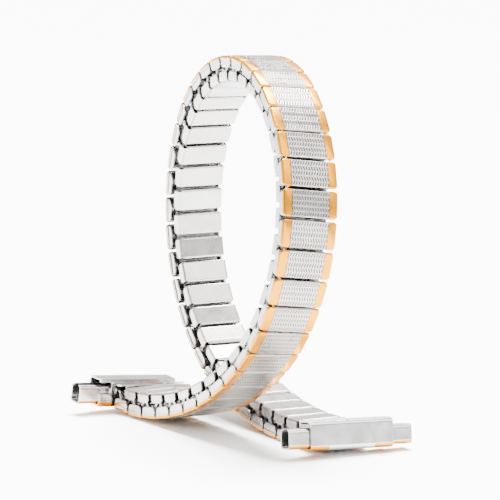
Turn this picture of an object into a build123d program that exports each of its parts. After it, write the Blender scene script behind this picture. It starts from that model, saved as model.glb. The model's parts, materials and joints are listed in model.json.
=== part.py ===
from build123d import *
import os

# A two-row expansion watch band, stood up as a loop with its two legs crossed, in millimetres.
#
# Hollow links lie in two staggered rows. Each outer link covers the joint between two inner links, and
# U-shaped bows run from link to link inside the side flaps. A leaf spring in every link presses them.
# Each piece is drawn about its own link or joint: X along the band, Y across it, and Z outwards from the
# bare face against the skin. The band is then walked from its left end, one inner link at a time.

# The band as a whole, with its pitch at the height about which its links turn
PITCH = 2.84
TURN_HEIGHT = 1.3
BAND_WIDTH = 6.0
INNER_WIDTH = 5.3
INNER_HEIGHT = 1.15
ROW_GAP = 0.15
OUTER_HEIGHT = 1.12
COVER_THICKNESS = 0.18

# How much shorter than the pitch an inner link, an outer link and a cover plate are
INNER_GAP = 0.49
OUTER_GAP = 0.14
COVER_GAP = 0.06

# How it lies: how many joints in a row turn and roll by how many degrees, from the left end
BENDS = ((5, 4.69), (4, 5.64), (4, 8.82), (10, 10.19), (10, 9.32), (4, 9.82), (4, 7.97), (3, 3.51), (4, 3.59))
ROLLS = ((1, 5.8), (23, -0.85), (14, -0.45), (4, -0.19), (5, 0.19), (1, -2.58))
START_HEADING = 11.4
START_DIP = 5.47
START_ROLL = -5.04

# Inner links in each run of the band that moves as one piece, from the left end
RUNS = (4, 5, 5, 5, 5, 5, 5, 5, 4, 4)

# Folded sheet of a link, with a narrower flap over each end
SHEET = 0.16
SLEEVE_CORNER = 0.25
SEAM_WIDTH = 0.2
INNER_FLAP_LENGTH = 2.05
INNER_FLAP_CORNER = 0.4
OUTER_FLAP_LENGTH = 2.45
OUTER_FLAP_CORNER = 0.55
FLAP_SHORT = 0.1
FOLD_RADIUS = 0.26

# Cover plate of an outer link
LIP_THICKNESS = 0.1
LIP_DEPTH = 0.3
COVER_CORNER = 0.35
COVER_ROUND = 0.14

# Bow, with a leg in an inner link and a leg in an outer link
BOW_WIDTH = 0.3
BOW_THICKNESS = 0.2
BOW_REACH = 1.6
RUNNING_GAP = 0.04
LEG_GAP = 0.06
LEG_SHIFT = 0.05
INNER_TILT_ROOM = 0.15
OUTER_TILT_ROOM = 0.1
TURN_ROOM = 0.35

# Leaf springs of the links
LEAF_THICKNESS = 0.1
LEAF_WIDTH = 1.6
LEAF_SPAN = 4.0
LEAF_RISE = 0.15
LEAF_GAP = 0.03

# End case, and the hooked tongue that joins it to the last outer link
CASE_WIDTH = 9.4
CASE_START = 1.53
CASE_HEIGHT = 3.05
CASE_DROP = 0.35
CASE_SHEET = 0.2
CASE_ROUND = 0.5
TONGUE_WIDTH = 6.4
TONGUE_CORNER = 0.5
LIP_HEIGHT = 0.4
TAB_HEIGHT = 1.4
TAB_LENGTH = 1.4
DIMPLE_RADIUS = 0.2
DIMPLE_INSET = 0.7
DIMPLE_LEVEL = 1.9

# Lug tube, rolled from sheet, that a spring bar goes through
TUBE_BORE_WIDTH = 1.58
TUBE_BORE_HEIGHT = 1.75
TUBE_SHEET = 0.14
TUBE_CORNER = 0.4
TUBE_LENGTH = 4.5
TUBE_REACH = 2.3
TUBE_SEAM = 0.9

# Leaf that holds the tubes by friction
CATCH_WIDTH = 1.3
CATCH_SPAN = 8.4

INNER_LENGTH = PITCH - INNER_GAP
OUTER_LENGTH = PITCH - OUTER_GAP
COVER_LENGTH = PITCH - COVER_GAP
OUTER_LEVEL = INNER_HEIGHT + ROW_GAP
COVER_LEVEL = OUTER_LEVEL + OUTER_HEIGHT
BAND_THICKNESS = COVER_LEVEL + COVER_THICKNESS
OUTER_WIDTH = BAND_WIDTH - 2 * LIP_THICKNESS
BOW_Y = INNER_WIDTH / 2 - SHEET - RUNNING_GAP
SLEEVE_LENGTH = 2 * (BOW_Y - BOW_THICKNESS - RUNNING_GAP)
INNER_LEG_X = (PITCH - BOW_WIDTH - LEG_GAP) / 2 - LEG_SHIFT
INNER_LEG_TOP = INNER_HEIGHT - SHEET - INNER_TILT_ROOM
OUTER_LEG_X = OUTER_LENGTH / 2 - SHEET - TURN_ROOM - BOW_WIDTH / 2
OUTER_LEG_TOP = OUTER_LEVEL + SHEET + OUTER_TILT_ROOM + BOW_THICKNESS
TUBE_WIDTH = TUBE_BORE_WIDTH + 2 * TUBE_SHEET
TUBE_HEIGHT = TUBE_BORE_HEIGHT + 2 * TUBE_SHEET
CASE_END = CASE_START + TUBE_WIDTH + 2 * (CASE_SHEET + RUNNING_GAP)
CASE_TOP = CASE_HEIGHT - CASE_DROP
CASE_MIDDLE = (CASE_START + CASE_END) / 2
TUBE_TOP = CASE_TOP - CASE_SHEET - RUNNING_GAP
TUBE_LEVEL = TUBE_TOP - TUBE_HEIGHT / 2
OVERRUN = SHEET


def block(x, y, z):
    """A box from its lowest and highest value on each axis."""
    middle = Pos((x[0] + x[1]) / 2, (y[0] + y[1]) / 2, (z[0] + z[1]) / 2)
    return middle * Box(x[1] - x[0], y[1] - y[0], z[1] - z[0])


def edges_near(shape, along, across, level):
    """The straight edges along one axis that lie at one level on another."""
    return shape.edges().filter_by(along).filter_by_position(across, level - SHEET / 2, level + SHEET / 2)


def sleeve(length, height, width, flap_length, flap_corner):
    """A link's folded sheet, with its closed face at Z 0 and its seam in the wall towards the other row."""
    outline = RectangleRounded(length, height, SLEEVE_CORNER)
    hollow = RectangleRounded(length - 2 * SHEET, height - 2 * SHEET, SLEEVE_CORNER - SHEET)
    tube = extrude(Plane.XZ * (outline - hollow), SLEEVE_LENGTH / 2, both=True)
    seam = Pos(0, 0, height) * Box(SEAM_WIDTH, SLEEVE_LENGTH + OVERRUN, 3 * SHEET)
    tube = Pos(0, 0, height / 2) * tube - seam
    half = flap_length / 2
    fold = block((-half, half), (SLEEVE_LENGTH / 2 - SHEET, width / 2), (0, SHEET))
    flap = block((-half, half), (width / 2 - SHEET, width / 2), (0, height - FLAP_SHORT))
    flap = fillet(edges_near(fold + flap, Axis.X, Axis.Z, 0).sort_by(Axis.Y)[-1], FOLD_RADIUS)
    flap = fillet(edges_near(flap, Axis.Y, Axis.Z, height - FLAP_SHORT), flap_corner)
    return tube + flap + Rot(0, 0, 180) * flap


def inner_sleeve():
    return sleeve(INNER_LENGTH, INNER_HEIGHT, INNER_WIDTH, INNER_FLAP_LENGTH, INNER_FLAP_CORNER)


def outer_sleeve():
    piece = sleeve(OUTER_LENGTH, OUTER_HEIGHT, OUTER_WIDTH, OUTER_FLAP_LENGTH, OUTER_FLAP_CORNER)
    return Pos(0, 0, COVER_LEVEL) * Rot(180, 0, 0) * piece


def cover_plate():
    """The decorated plate of an outer link, with a lip folded over the flap at each side of the band."""
    length, width = COVER_LENGTH / 2, BAND_WIDTH / 2
    plate = block((-length, length), (-width, width), (COVER_LEVEL - LIP_DEPTH, BAND_THICKNESS))
    plate = fillet(plate.edges().filter_by(Axis.Z), COVER_CORNER)
    plate -= Pos(0, 0, COVER_LEVEL - LIP_DEPTH) * Box(COVER_LENGTH + OVERRUN, OUTER_WIDTH, 2 * LIP_DEPTH)
    return fillet(plate.faces().sort_by(Axis.Z)[-1].edges(), COVER_ROUND)


def leaf_spring(level, width, span, rise):
    """A strip that arches along Y, with the undersides of its ends at the given level."""
    half = span / 2
    top_level = level + LEAF_THICKNESS
    below = ThreePointArc((-half, level), (0, level + rise), (half, level))
    above = ThreePointArc((half, top_level), (0, top_level + rise), (-half, top_level))
    outline = [below, Line(below @ 1, above @ 0), above, Line(above @ 1, below @ 0)]
    return extrude(Plane.YZ * make_face(outline), width / 2, both=True)


def inner_spring():
    return leaf_spring(SHEET + LEAF_GAP, LEAF_WIDTH, LEAF_SPAN, LEAF_RISE)


def outer_spring():
    level = COVER_LEVEL - SHEET - LEAF_GAP - LEAF_RISE - LEAF_THICKNESS
    return leaf_spring(level, LEAF_WIDTH, LEAF_SPAN, LEAF_RISE)


def bow(side):
    """The bow at the +Y side of a joint, to the inner link before it (side -1) or after it (side 1)."""
    half = BOW_WIDTH / 2
    inner_x, outer_x = side * INNER_LEG_X, side * OUTER_LEG_X
    span = (BOW_Y - BOW_THICKNESS / 2 - BOW_REACH, BOW_Y)
    inner_bottom = INNER_LEG_TOP - BOW_THICKNESS
    inner_leg = block((inner_x - half, inner_x + half), span, (inner_bottom, INNER_LEG_TOP))
    outer_leg = block((outer_x - half, outer_x + half), span, (OUTER_LEG_TOP - BOW_THICKNESS, OUTER_LEG_TOP))
    outline = Polyline((inner_x - half, inner_bottom), (inner_x + half, inner_bottom),
                       (outer_x + half, OUTER_LEG_TOP), (outer_x - half, OUTER_LEG_TOP), close=True)
    crosspiece = Pos(0, BOW_Y, 0) * extrude(Plane.XZ * make_face(outline), BOW_THICKNESS)
    return inner_leg + outer_leg + crosspiece


def bow_pair(side):
    """The bows at both sides of the band."""
    return [bow(side), Rot(0, 0, 180) * bow(-side)]


def end_case():
    """An end case about its joint, with X away from the band: a channel for the tubes, and its tongue.

    Its wall towards the band is a lip and two tabs with a gap between them, beside the tongue.
    """
    width = CASE_WIDTH / 2
    channel = block((CASE_START, CASE_END), (-width, width), (-CASE_DROP, CASE_TOP))
    channel = fillet(edges_near(channel, Axis.Y, Axis.X, CASE_END), CASE_ROUND)
    hollow = block((CASE_START + CASE_SHEET, CASE_END - CASE_SHEET), (-CASE_WIDTH, CASE_WIDTH),
                   (CASE_SHEET - CASE_DROP, CASE_TOP - CASE_SHEET))
    hollow = fillet(edges_near(hollow, Axis.Y, Axis.X, CASE_END - CASE_SHEET), CASE_ROUND - CASE_SHEET)
    dimple = Pos(CASE_START, width - DIMPLE_INSET, DIMPLE_LEVEL) * Rot(0, 90, 0)
    cut = dimple * Cylinder(DIMPLE_RADIUS, 3 * CASE_SHEET)
    cut += block((CASE_START - CASE_SHEET, CASE_START + 2 * CASE_SHEET), (width - TAB_LENGTH, CASE_WIDTH),
                 (LIP_HEIGHT - CASE_DROP, CASE_TOP - TAB_HEIGHT))
    front, back = INNER_GAP / 2, CASE_START + CASE_SHEET / 2
    plate = block((front, back), (-TONGUE_WIDTH / 2, TONGUE_WIDTH / 2), (0, SHEET))
    plate = fillet(edges_near(plate, Axis.Z, Axis.X, front), TONGUE_CORNER)
    hook = block((front, back), (-SLEEVE_LENGTH / 2, SLEEVE_LENGTH / 2), (0, INNER_HEIGHT))
    hook = fillet(edges_near(hook, Axis.Y, Axis.X, front).sort_by(Axis.Z)[-1], SLEEVE_CORNER)
    hook -= block((front + SHEET, back), (-INNER_WIDTH, INNER_WIDTH), (SHEET, INNER_HEIGHT - SHEET))
    return channel - hollow - cut - mirror(cut, Plane.XZ) + plate + hook


def lug_tube():
    """The lug tube at the +Y side of a case, with its wide seam towards the skin."""
    bore = RectangleRounded(TUBE_BORE_WIDTH, TUBE_BORE_HEIGHT, TUBE_CORNER - TUBE_SHEET)
    outline = RectangleRounded(TUBE_WIDTH, TUBE_HEIGHT, TUBE_CORNER) - bore
    tip = CASE_WIDTH / 2 + TUBE_REACH
    tube = Pos(CASE_MIDDLE, tip, TUBE_LEVEL) * extrude(Plane.XZ * outline, TUBE_LENGTH)
    seam = Pos(CASE_MIDDLE, tip, TUBE_LEVEL - TUBE_HEIGHT / 2)
    return tube - seam * Box(TUBE_SEAM, 3 * TUBE_LENGTH, TUBE_HEIGHT / 2)


def tube_spring():
    """The leaf under both tubes of a case."""
    floor = CASE_SHEET - CASE_DROP
    rise = TUBE_TOP - TUBE_HEIGHT - floor - LEAF_THICKNESS - 2 * LEAF_GAP
    return Pos(CASE_MIDDLE, 0, 0) * leaf_spring(floor + LEAF_GAP, CATCH_WIDTH, CATCH_SPAN, rise)


def spread(groups):
    """One value for each joint, from groups of a count and a value."""
    return [value for count, value in groups for _ in range(count)]


def walk():
    """The places of all inner links, with an end case's own before and after them, and of the joints."""
    place = Rot(0, 0, START_HEADING) * Rot(0, START_DIP, 0) * Rot(180 + START_ROLL, 0, 0)
    links, joints = [place], []
    for bend, roll in zip(spread(BENDS), spread(ROLLS)):
        middle = place * Pos(PITCH / 2, 0, TURN_HEIGHT)
        joints.append(middle * Rot(0, bend / 2, 0) * Rot(roll / 2, 0, 0) * Pos(0, 0, -TURN_HEIGHT))
        place = middle * Rot(0, bend, 0) * Rot(roll, 0, 0) * Pos(PITCH / 2, 0, -TURN_HEIGHT)
        links.append(place)
    return links, joints


def end_places(links):
    """The joint frames of the two end cases, with X away from the band."""
    half_step = Pos(PITCH / 2, 0, 0)
    return {"left": links[0] * half_step * Rot(0, 0, 180), "right": links[-1] * half_step.inverse()}


def placed(places, pieces):
    return [place * piece for place in places for piece in pieces]


def band_nodes(links, joints):
    """The links, cover plates, springs and bows, run by run, with a joining link before each run."""
    nodes = {}
    outer_pieces = [outer_sleeve(), cover_plate(), outer_spring()]
    inner_pieces = [inner_sleeve(), inner_spring()]
    joining_pieces = outer_pieces + bow_pair(-1)
    first = 0
    for number, count in enumerate(RUNS, 1):
        last = first + count
        inner_places, outer_places = links[first + 1:last + 1], joints[first + 1:last]
        hidden = placed(inner_places, inner_pieces[1:]) + placed(outer_places, outer_pieces[2:])
        hidden += placed(joints[first:last], bow_pair(1)) + placed(outer_places, bow_pair(-1))
        nodes[f"joining_link_{number:02d}"] = placed([joints[first]], joining_pieces)
        nodes[f"inner_links_{number:02d}"] = placed(inner_places, inner_pieces[:1])
        nodes[f"outer_links_{number:02d}"] = placed(outer_places, outer_pieces[:1])
        nodes[f"cover_plates_{number:02d}"] = placed(outer_places, outer_pieces[1:2])
        nodes[f"springs_and_bows_{number:02d}"] = hidden
        first = last
    nodes[f"joining_link_{len(RUNS) + 1:02d}"] = placed([joints[first]], joining_pieces)
    nodes["end_bows_right"] = placed([joints[first]], bow_pair(1))
    return nodes


def end_nodes(places):
    """The cases with their tubes and springs."""
    case, tube, spring = end_case(), lug_tube(), tube_spring()
    nodes = {}
    for name, place in places.items():
        nodes[f"end_case_{name}"] = [place * case]
        nodes[f"lug_tube_{name}_a"] = [place * tube]
        nodes[f"lug_tube_{name}_b"] = [place * mirror(tube, Plane.XZ)]
        nodes[f"tube_spring_{name}"] = [place * spring]
    return nodes


def resting_move(nodes):
    """The move that sets the band on its resting plane, with the origin under its middle."""
    box = Compound([solid for group in nodes.values() for shape in group for solid in shape.solids()])
    box = box.bounding_box()
    return Pos(-(box.min.X + box.max.X) / 2, -(box.min.Y + box.max.Y) / 2, -box.min.Z)


links, joints = walk()
nodes = band_nodes(links, joints) | end_nodes(end_places(links))
settle = resting_move(nodes)
os.makedirs("parts", exist_ok=True)
for name, group in nodes.items():
    solids = [settle * solid for shape in group for solid in shape.solids()]
    export_step(Compound(solids), f"parts/{name}.step")
print(len(nodes), "nodes,", sum(RUNS), "inner links,", len(joints), "outer links, moved by", settle.position)
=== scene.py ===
import json
import math

import bpy
from mathutils import Matrix, Vector


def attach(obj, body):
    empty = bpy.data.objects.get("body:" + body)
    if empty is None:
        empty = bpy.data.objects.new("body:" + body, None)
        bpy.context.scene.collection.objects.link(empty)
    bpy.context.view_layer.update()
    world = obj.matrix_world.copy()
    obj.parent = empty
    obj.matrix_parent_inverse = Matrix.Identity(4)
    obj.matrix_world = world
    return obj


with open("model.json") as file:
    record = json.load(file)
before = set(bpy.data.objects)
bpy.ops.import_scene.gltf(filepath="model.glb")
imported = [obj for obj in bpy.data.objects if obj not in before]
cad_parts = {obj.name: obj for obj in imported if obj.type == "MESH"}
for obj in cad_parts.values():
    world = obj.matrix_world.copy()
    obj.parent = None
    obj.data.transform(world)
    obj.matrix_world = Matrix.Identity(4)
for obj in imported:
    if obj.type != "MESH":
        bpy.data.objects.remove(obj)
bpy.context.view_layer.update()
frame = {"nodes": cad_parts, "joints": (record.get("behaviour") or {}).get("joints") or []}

# Lengths are in millimetres up to the meshes, which are in metres
MM = 0.001

# The band, as the CAD model walks it from its left end
PITCH = 2.84
TURN_HEIGHT = 1.3
COVER_LENGTH = PITCH - 0.06
BAND_WIDTH = 6.0
COVER_LEVEL = 2.42
COVER_TOP = 2.6
LIP_THICKNESS = 0.1
COVER_ROUND = 0.14
COVER_CORNER = 0.35
BENDS = ((5, 4.69), (4, 5.64), (4, 8.82), (10, 10.19), (10, 9.32), (4, 9.82), (4, 7.97), (3, 3.51), (4, 3.59))
ROLLS = ((1, 5.8), (23, -0.85), (14, -0.45), (4, -0.19), (5, 0.19), (1, -2.58))
START_HEADING = 11.4
START_DIP = 5.47
START_ROLL = -5.04
RUNS = (4, 5, 5, 5, 5, 5, 5, 5, 4, 4)

# End cases and lug tubes, and how far their gold reaches
CASE_TOP = 2.7
CASE_WIDTH = 9.4
CASE_MIDDLE = 2.7
CASE_GOLD_WIDTH = 2.1
CASE_GOLD_DEPTH = 0.45
TUBE_GOLD_DEPTH = 0.6
TUBE_WIDTH = 1.86
TUBE_TOP = 2.46
TUBE_SHEET = 0.14
TUBE_CORNER = 0.4

# Relief on the cover plates: slanted ribs side by side, in rows along the band, and the cuts between them
PANEL_WIDTH = 4.1
PANEL_INSET = 0.07
RIBS = 14
ROWS = 5
SLANT = 0.2
CUT_START = 0.16
CREST = 0.06
GROOVE = 0.005
CREST_SHARE = 0.5

# Gold strips on the cover plates, and how deep strips and relief sink into the plates
GOLD_PROUD = 0.02
GOLD_LIP = 0.12
SUNK = 0.03
CORNER_STEPS = 6
ROUND_STEPS = 3

# Metals, each with the darkest and the lightest colour of its clouding
STEEL = ((0.38, 0.36, 0.35), (0.47, 0.445, 0.43))
CASE_STEEL = ((0.46, 0.44, 0.43), (0.55, 0.53, 0.52))
RIB_STEEL = ((0.34, 0.315, 0.29), (0.42, 0.39, 0.36))
# Painted shade: the walls of the relief's cuts get this near-black colour, standing for the shade in the
# grooves
GROOVE_PAINTED_SHADE = ((0.08, 0.075, 0.075), (0.13, 0.125, 0.125))
SPRING_STEEL = ((0.30, 0.30, 0.31), (0.42, 0.42, 0.43))
GOLD = ((0.48, 0.185, 0.001), (0.58, 0.235, 0.002))
# Painted shade: a grey tint that dims the grazing reflections on the relief
RELIEF_PAINTED_SHADE_TINT = (0.4, 0.38, 0.36, 1)

# Finish of the metals: noise scales per metre, the middle range of the noise, waviness and softened edges
CLOUD_SCALE, CLOUD_DETAIL = 220, 4.0
WEAR_SCALE, WEAR_DETAIL = 900, 6.0
NOISE_LOW, NOISE_HIGH = 0.3, 0.7
SHEET_BUMP, RELIEF_BUMP = 0.05, 0.1
BUMP_DEPTH = 0.02
EDGE_RADIUS = 0.09
EDGE_SAMPLES = 6
SHARP_ANGLE = 35

# Camera, from the fit to the photograph
CAMERA_AZIMUTH = 68.883
CAMERA_ELEVATION = 7.992
CAMERA_DISTANCE = 312.53
CAMERA_TARGET = (0.873, 2.459, 16.607)
CAMERA_LENS = 215.38
CAMERA_SHIFT = (-0.0104, 0.0433)
SENSOR_WIDTH = 36

# Room, with its lengths in metres
FLOOR_HALF = 4.0
FLOOR_COLOUR = (0.95, 0.96, 0.96, 1)
FLOOR_ROUGHNESS = 0.9
ROOM_COLOUR = (0.97, 0.98, 1.0, 1)
ROOM_LIGHT, ROOM_LIGHT_AT_VIEWER = 1.8, 0.75
FADE_START = 0.3
LAMP_DISTANCE = 0.6


def turn(axis, degrees):
    return Matrix.Rotation(math.radians(degrees), 4, axis)


def shift(x, y=0, z=0):
    return Matrix.Translation((x, y, z))


def spread(groups):
    """One value for each joint, from groups of a count and a value."""
    return [value for count, value in groups for _ in range(count)]


def walk():
    """The places of the two end cases and of all joints, in the CAD model's frame."""
    place = turn("Z", START_HEADING) @ turn("Y", START_DIP) @ turn("X", 180 + START_ROLL)
    first, joints = place, []
    for bend, roll in zip(spread(BENDS), spread(ROLLS)):
        middle = place @ shift(PITCH / 2, 0, TURN_HEIGHT)
        joints.append(middle @ turn("Y", bend / 2) @ turn("X", roll / 2) @ shift(0, 0, -TURN_HEIGHT))
        place = middle @ turn("Y", bend) @ turn("X", roll) @ shift(PITCH / 2, 0, -TURN_HEIGHT)
    found = next(j for j in frame["joints"] if j["name"] == "bend_01")
    axle = joints[0] @ Vector((0, 0, TURN_HEIGHT))
    settle = Matrix.Translation(Vector(found["pos_m"]) / MM - axle)
    ends = {"left": first @ shift(PITCH / 2) @ turn("Z", 180), "right": place @ shift(-PITCH / 2)}
    return {name: settle @ end for name, end in ends.items()}, [settle @ joint for joint in joints]


def bodies_of_joints():
    """The body that carries the outer link at each joint."""
    names = []
    for number, count in enumerate(RUNS, 1):
        names.append(f"joining_link_{number:02d}")
        names += [f"run_{number:02d}"] * (count - 1)
    return names + [f"joining_link_{len(RUNS) + 1:02d}"]


class Pieces:
    """Vertices and faces that collect into one mesh."""

    def __init__(self):
        self.vertices, self.faces, self.slots = [], [], []

    def add(self, place, vertices, faces, slots=None):
        start = len(self.vertices)
        self.vertices += [tuple((place @ Vector(v)) * MM) for v in vertices]
        self.faces += [tuple(start + i for i in face) for face in faces]
        self.slots += slots or [0] * len(faces)

    def build(self, name, body, materials, smooth=False):
        mesh = bpy.data.meshes.new(name)
        mesh.from_pydata(self.vertices, [], self.faces)
        for material in materials:
            mesh.materials.append(material)
        mesh.polygons.foreach_set("material_index", self.slots)
        mesh.validate()
        piece = bpy.data.objects.new(name, mesh)
        bpy.context.scene.collection.objects.link(piece)
        if smooth:
            mesh.shade_smooth()
            mesh.set_sharp_from_angle(angle=math.radians(SHARP_ANGLE))
        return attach(piece, body)


def herringbone():
    """The relief of one cover plate, closed below: rows of slanted cuts, with the cuts' own faces as slot 1,
    which is painted dark as shade in the grooves.

    Neighbouring rows lean to opposite sides, and the panel's side edges stay straight.
    """
    half = COVER_LENGTH / 2 - PANEL_INSET
    period = PANEL_WIDTH / RIBS
    steps = []
    for rib in range(RIBS):
        left = -PANEL_WIDTH / 2 + rib * period
        steps += [(left, GROOVE), (left + period * (1 - CREST_SHARE), CREST), (left + period, CREST)]
    across = [y for y, _ in steps] + [PANEL_WIDTH / 2]
    heights = [z for _, z in steps] + [CREST]
    count = len(across)
    lines = [(0, 0)]
    for row in range(ROWS):
        lines += [(row + CUT_START, 1), (row + 1 - CUT_START, 1), (row + 1, 0)]
    vertices, faces, slots = [], [], []
    for along, cut in lines:
        x = -half + 2 * half * along / ROWS
        lean = SLANT * (abs((along % 2) - 1) - 0.5)
        for i, (y, z) in enumerate(zip(across, heights)):
            inside = min(1, i, count - 1 - i)
            vertices.append((x, y + lean * inside, COVER_TOP + (z if cut else CREST)))
    for line in range(len(lines) - 1):
        for i in range(count - 1):
            a = line * count + i
            faces.append((a, a + 1, a + count + 1, a + count))
            # Slot 1, the sloped walls in the cut rows, carries the painted groove shade
            slots.append(1 if line % 3 == 1 and i % 3 != 1 else 0)
    # Walls from the rim down into the plate, and a bottom
    last = len(lines) - 1
    rim = list(range(count))
    rim += [line * count + count - 1 for line in range(1, last + 1)]
    rim += [last * count + i for i in range(count - 2, -1, -1)]
    rim += [line * count for line in range(last - 1, 0, -1)]
    base = len(vertices)
    for i in rim:
        vertices.append((vertices[i][0], vertices[i][1], COVER_TOP - SUNK))
    for k in range(len(rim)):
        n = (k + 1) % len(rim)
        faces.append((rim[n], rim[k], base + k, base + n))
    faces.append(tuple(base + k for k in range(len(rim))))
    slots += [0] * (len(faces) - len(slots))
    return vertices, [tuple(reversed(face)) for face in faces], slots


def gold_edge(side):
    """The gold-coloured strip that wraps one edge of a cover plate, as a closed shell."""
    half, width = COVER_LENGTH / 2, BAND_WIDTH / 2
    flap_start = width - LIP_THICKNESS - COVER_CORNER / 4
    arc = [math.radians(90 * k / CORNER_STEPS) for k in range(CORNER_STEPS + 1)]

    def outline(inset):
        radius = COVER_CORNER - inset
        cx, cy = half - COVER_CORNER, width - COVER_CORNER
        start = [(-half + inset, PANEL_WIDTH / 2)]
        left = [(-cx - radius * math.cos(a), cy + radius * math.sin(a)) for a in arc]
        right = [(cx + radius * math.sin(a), cy + radius * math.cos(a)) for a in arc]
        return start + left + right + [(half - inset, PANEL_WIDTH / 2)]

    def rings(proud):
        levels = [(-proud, None)]
        for k in range(ROUND_STEPS + 1):
            a = math.radians(90 * k / ROUND_STEPS)
            levels.append((COVER_ROUND - (COVER_ROUND + proud) * math.cos(a),
                           COVER_TOP - COVER_ROUND + (COVER_ROUND + proud) * math.sin(a)))
        return levels

    def surface(proud):
        points = []
        for inset, level in rings(proud):
            for x, y in outline(inset):
                bottom = COVER_LEVEL - GOLD_LIP if y > flap_start else COVER_LEVEL
                points.append((x, y * side, bottom if level is None else level))
        return points

    outer, inner = surface(GOLD_PROUD), surface(-SUNK)
    count = len(outline(0))
    levels = len(rings(0))
    size = len(outer)
    vertices, faces = outer + inner, []
    # The outer and the inner skin
    for level in range(levels - 1):
        for i in range(count - 1):
            a = level * count + i
            faces.append((a, a + 1, a + count + 1, a + count))
            faces.append((size + a + count, size + a + count + 1, size + a + 1, size + a))
    top = (levels - 1) * count
    faces.append(tuple(top + i for i in range(count)))
    faces.append(tuple(size + top + i for i in reversed(range(count))))
    # The lower rim, and the rim towards the middle of the plate
    for i in range(count - 1):
        faces.append((i + 1, i, size + i, size + i + 1))
    for level in range(levels - 1):
        a, b = level * count, (level + 1) * count
        faces.append((a, b, size + b, size + a))
        a, b = a + count - 1, b + count - 1
        faces.append((b, a, size + a, size + b))
    faces.append((top, top + count - 1, size + top + count - 1, size + top))
    if side < 0:
        return vertices, faces
    return vertices, [tuple(reversed(face)) for face in faces]


def new_material(name):
    material = bpy.data.materials.new(name)
    material.use_nodes = True
    nodes = material.node_tree.nodes
    return material, nodes, material.node_tree.links, nodes["Principled BSDF"]


def noise(nodes, links, coordinates, scale, detail):
    texture = nodes.new("ShaderNodeTexNoise")
    texture.inputs["Scale"].default_value = scale
    texture.inputs["Detail"].default_value = detail
    links.new(coordinates, texture.inputs["Vector"])
    return texture.outputs["Fac"]


def spread_values(nodes, links, value, low, high):
    ranged = nodes.new("ShaderNodeMapRange")
    ranged.inputs["From Min"].default_value = NOISE_LOW
    ranged.inputs["From Max"].default_value = NOISE_HIGH
    ranged.inputs["To Min"].default_value = low
    ranged.inputs["To Max"].default_value = high
    links.new(value, ranged.inputs["Value"])
    return ranged.outputs["Result"]


def tint(nodes, links, value, colours):
    ramp = nodes.new("ShaderNodeValToRGB")
    for stop, position, colour in zip(ramp.color_ramp.elements, (NOISE_LOW, NOISE_HIGH), colours):
        stop.position = position
        stop.color = (*colour, 1)
    links.new(value, ramp.inputs["Fac"])
    return ramp.outputs["Color"]


def metal(name, colours, roughness, bump=SHEET_BUMP):
    """Sheet metal with faint clouding, fine wear in its gloss, slight waviness and softened edges."""
    material, nodes, links, shader = new_material(name)
    shader.inputs["Metallic"].default_value = 1.0
    where = nodes.new("ShaderNodeTexCoord").outputs["Object"]
    cloud = noise(nodes, links, where, CLOUD_SCALE, CLOUD_DETAIL)
    wear = noise(nodes, links, where, WEAR_SCALE, WEAR_DETAIL)
    links.new(tint(nodes, links, cloud, colours), shader.inputs["Base Color"])
    links.new(spread_values(nodes, links, wear, *roughness), shader.inputs["Roughness"])
    relief = nodes.new("ShaderNodeBump")
    relief.inputs["Strength"].default_value = bump
    relief.inputs["Distance"].default_value = BUMP_DEPTH * MM
    links.new(wear, relief.inputs["Height"])
    rounded = nodes.new("ShaderNodeBevel")
    rounded.samples = EDGE_SAMPLES
    rounded.inputs["Radius"].default_value = EDGE_RADIUS * MM
    links.new(rounded.outputs["Normal"], relief.inputs["Normal"])
    links.new(relief.outputs["Normal"], shader.inputs["Normal"])
    return material


def combine(nodes, links, operation, first, second):
    """Two values joined by a maths node, or the second alone where there is no first."""
    if first is None:
        return second
    node = nodes.new("ShaderNodeMath")
    node.operation = operation
    links.new(first, node.inputs[0])
    links.new(second, node.inputs[1])
    return node.outputs["Value"]


def two_tone(name, groups):
    """Steel that is gold-coloured where a point lies past all planes of a group, given as (point, normal)."""
    material = metal(name, CASE_STEEL, roughness=(0.16, 0.26))
    nodes, links = material.node_tree.nodes, material.node_tree.links
    shader = nodes["Principled BSDF"]
    steel = shader.inputs["Base Color"].links[0].from_socket
    where = nodes.new("ShaderNodeTexCoord").outputs["Object"]
    cloud = noise(nodes, links, where, CLOUD_SCALE, CLOUD_DETAIL)
    gold = tint(nodes, links, cloud, GOLD)
    mask = None
    for group in groups:
        inside = None
        for point, normal in group:
            offset = nodes.new("ShaderNodeVectorMath")
            offset.operation = "SUBTRACT"
            links.new(where, offset.inputs[0])
            offset.inputs[1].default_value = point
            along = nodes.new("ShaderNodeVectorMath")
            along.operation = "DOT_PRODUCT"
            links.new(offset.outputs["Vector"], along.inputs[0])
            along.inputs[1].default_value = normal
            past = nodes.new("ShaderNodeMath")
            past.operation = "GREATER_THAN"
            past.inputs[1].default_value = 0
            links.new(along.outputs["Value"], past.inputs[0])
            inside = combine(nodes, links, "MULTIPLY", inside, past.outputs["Value"])
        mask = combine(nodes, links, "MAXIMUM", mask, inside)
    mix = nodes.new("ShaderNodeMix")
    mix.data_type = "RGBA"
    # The node has sockets for other types too: its colours are inputs 6 and 7 and output 2
    links.new(mask, mix.inputs["Factor"])
    links.new(steel, mix.inputs[6])
    links.new(gold, mix.inputs[7])
    links.new(mix.outputs[2], shader.inputs["Base Color"])
    return material


def dress(node, material):
    piece = frame["nodes"][node]
    piece.data.materials.clear()
    piece.data.materials.append(material)


def world_plane(place, point, normal):
    return tuple((place @ Vector(point)) * MM), tuple(place.to_3x3() @ Vector(normal))


def case_planes(place):
    """Gold at both ends of the decorated face of a case, and a little down its lug face."""
    edge = CASE_WIDTH / 2 - CASE_GOLD_WIDTH
    level = world_plane(place, (0, 0, CASE_TOP - CASE_GOLD_DEPTH), (0, 0, 1))
    return [[level, world_plane(place, (0, side * edge, 0), (0, side, 0))] for side in (-1, 1)]


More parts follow.
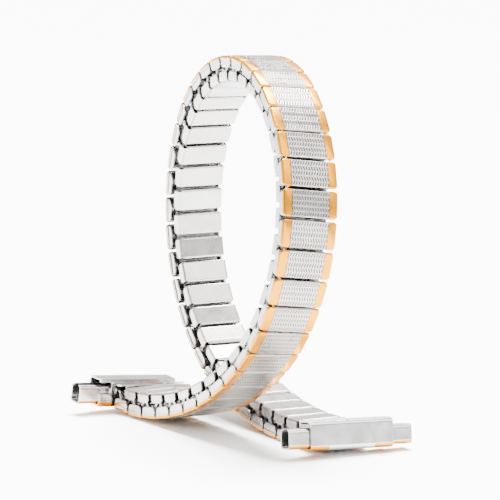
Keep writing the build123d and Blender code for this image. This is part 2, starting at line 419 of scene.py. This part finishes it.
def tube_planes(place):
    """Gold on the outside of the decorated half of a tube, but not inside it."""
    level = world_plane(place, (0, 0, CASE_TOP - TUBE_GOLD_DEPTH), (0, 0, 1))
    side, top = (TUBE_WIDTH - TUBE_SHEET) / 2, TUBE_TOP - TUBE_SHEET / 2
    # Slanted planes through the middle of the sheet take in the rounded corners
    bend = (TUBE_CORNER - TUBE_SHEET / 2) * (1 - math.sqrt(0.5))
    skins = [((CASE_MIDDLE, 0, top), (0, 0, 1))]
    for way in (-1, 1):
        skins.append(((CASE_MIDDLE + way * side, 0, 0), (way, 0, 0)))
        skins.append(((CASE_MIDDLE + way * (side - bend), 0, top - bend), (way, 0, 1)))
    return [[level, world_plane(place, *skin)] for skin in skins]


def floor():
    """A plain pale floor, large enough to fill the view."""
    mesh = bpy.data.meshes.new("floor")
    corners = [(-FLOOR_HALF, -FLOOR_HALF, 0), (FLOOR_HALF, -FLOOR_HALF, 0),
               (FLOOR_HALF, FLOOR_HALF, 0), (-FLOOR_HALF, FLOOR_HALF, 0)]
    mesh.from_pydata(corners, [], [(0, 1, 2, 3)])
    material, nodes, links, shader = new_material("floor_white")
    shader.inputs["Base Color"].default_value = FLOOR_COLOUR
    shader.inputs["Roughness"].default_value = FLOOR_ROUGHNESS
    mesh.materials.append(material)
    plane = bpy.data.objects.new("floor", mesh)
    bpy.context.scene.collection.objects.link(plane)


def direction(azimuth, elevation):
    """The way from the band to something at an azimuth and an elevation, in degrees."""
    a, e = math.radians(azimuth), math.radians(elevation)
    return Vector((math.sin(a) * math.cos(e), -math.cos(a) * math.cos(e), math.sin(e)))


def aimed(name, data, azimuth, elevation, distance):
    """An object that looks at the middle of the band from a distance in metres."""
    thing = bpy.data.objects.new(name, data)
    away = direction(azimuth, elevation)
    thing.location = Vector(CAMERA_TARGET) * MM + away * distance
    thing.rotation_euler = away.to_track_quat("Z", "Y").to_euler()
    bpy.context.scene.collection.objects.link(thing)
    return thing


def area_light(name, azimuth, elevation, size, power):
    light = bpy.data.lights.new(name, "AREA")
    light.shape = "RECTANGLE"
    light.size, light.size_y = size
    light.energy = power
    aimed(name, light, azimuth, elevation, LAMP_DISTANCE)


def sun_light(name, azimuth, elevation, spread_angle, power):
    light = bpy.data.lights.new(name, "SUN")
    light.energy = power
    light.angle = math.radians(spread_angle)
    aimed(name, light, azimuth, elevation, LAMP_DISTANCE)


def camera():
    data = bpy.data.cameras.new("camera")
    data.lens = CAMERA_LENS
    data.sensor_width = SENSOR_WIDTH
    data.shift_x, data.shift_y = CAMERA_SHIFT
    data.clip_start = 10 * MM
    view = aimed("camera", data, CAMERA_AZIMUTH, CAMERA_ELEVATION, CAMERA_DISTANCE * MM)
    bpy.context.scene.camera = view


def studio():
    """A white room that is darker towards the viewer, with a soft sun overhead and a lamp at each side."""
    world = bpy.data.worlds.new("studio")
    world.use_nodes = True
    nodes, links = world.node_tree.nodes, world.node_tree.links
    back = nodes["Background"]
    back.inputs["Color"].default_value = ROOM_COLOUR
    where = nodes.new("ShaderNodeTexCoord").outputs["Generated"]
    towards = nodes.new("ShaderNodeVectorMath")
    towards.operation = "DOT_PRODUCT"
    towards.inputs[1].default_value = direction(CAMERA_AZIMUTH, 0)
    links.new(where, towards.inputs[0])
    fade = nodes.new("ShaderNodeMapRange")
    fade.inputs["From Min"].default_value = FADE_START
    fade.inputs["From Max"].default_value = 1.0
    fade.inputs["To Min"].default_value = ROOM_LIGHT
    fade.inputs["To Max"].default_value = ROOM_LIGHT_AT_VIEWER
    links.new(towards.outputs["Value"], fade.inputs["Value"])
    links.new(fade.outputs["Result"], back.inputs["Strength"])
    bpy.context.scene.world = world
    sun_light("overhead", azimuth=240, elevation=72, spread_angle=34, power=34.0)
    area_light("key", azimuth=120, elevation=40, size=(0.35, 0.35), power=3.0)
    area_light("left_fill", azimuth=-10, elevation=25, size=(0.3, 0.4), power=2.0)


polished = metal("polished_steel", STEEL, roughness=(0.24, 0.32))
outer_steel = metal("outer_link_steel", STEEL, roughness=(0.24, 0.34))
textured = metal("textured_steel", RIB_STEEL, roughness=(0.24, 0.36), bump=RELIEF_BUMP)
# Painted shade: near-black steel for the walls of the cuts, standing for the shade in the grooves
painted_groove_shade = metal("groove_painted_shade", GROOVE_PAINTED_SHADE, roughness=(0.4, 0.5), bump=RELIEF_BUMP)
# Painted shade: the grey tint dims the relief's reflections at grazing angles
for material in (textured, painted_groove_shade):
    shader = material.node_tree.nodes["Principled BSDF"]
    shader.inputs["Specular Tint"].default_value = RELIEF_PAINTED_SHADE_TINT
spring_steel = metal("spring_steel", SPRING_STEEL, roughness=(0.25, 0.4))
gold = metal("gold_plate", GOLD, roughness=(0.26, 0.36))

ends, joints = walk()

for node in frame["nodes"]:
    if node.startswith(("inner_links", "joining_link")):
        dress(node, polished)
    elif node.startswith(("outer_links", "cover_plates")):
        dress(node, outer_steel)
    elif node.startswith(("springs_and_bows", "end_bows", "tube_spring")):
        dress(node, spring_steel)
for name, place in ends.items():
    dress(f"end_case_{name}", two_tone(f"end_case_{name}_metal", case_planes(place)))
    tube_metal = two_tone(f"lug_tube_{name}_metal", tube_planes(place))
    for letter in "ab":
        dress(f"lug_tube_{name}_{letter}", tube_metal)

panels, edges = {}, {}
for body, joint in zip(bodies_of_joints(), joints):
    panels.setdefault(body, Pieces()).add(joint, *herringbone())
    for side in (-1, 1):
        edges.setdefault(body, Pieces()).add(joint, *gold_edge(side))
for body in panels:
    panels[body].build(f"herringbone_{body}", body, [textured, painted_groove_shade])
    edges[body].build(f"gold_edges_{body}", body, [gold], smooth=True)

floor()
studio()
camera()
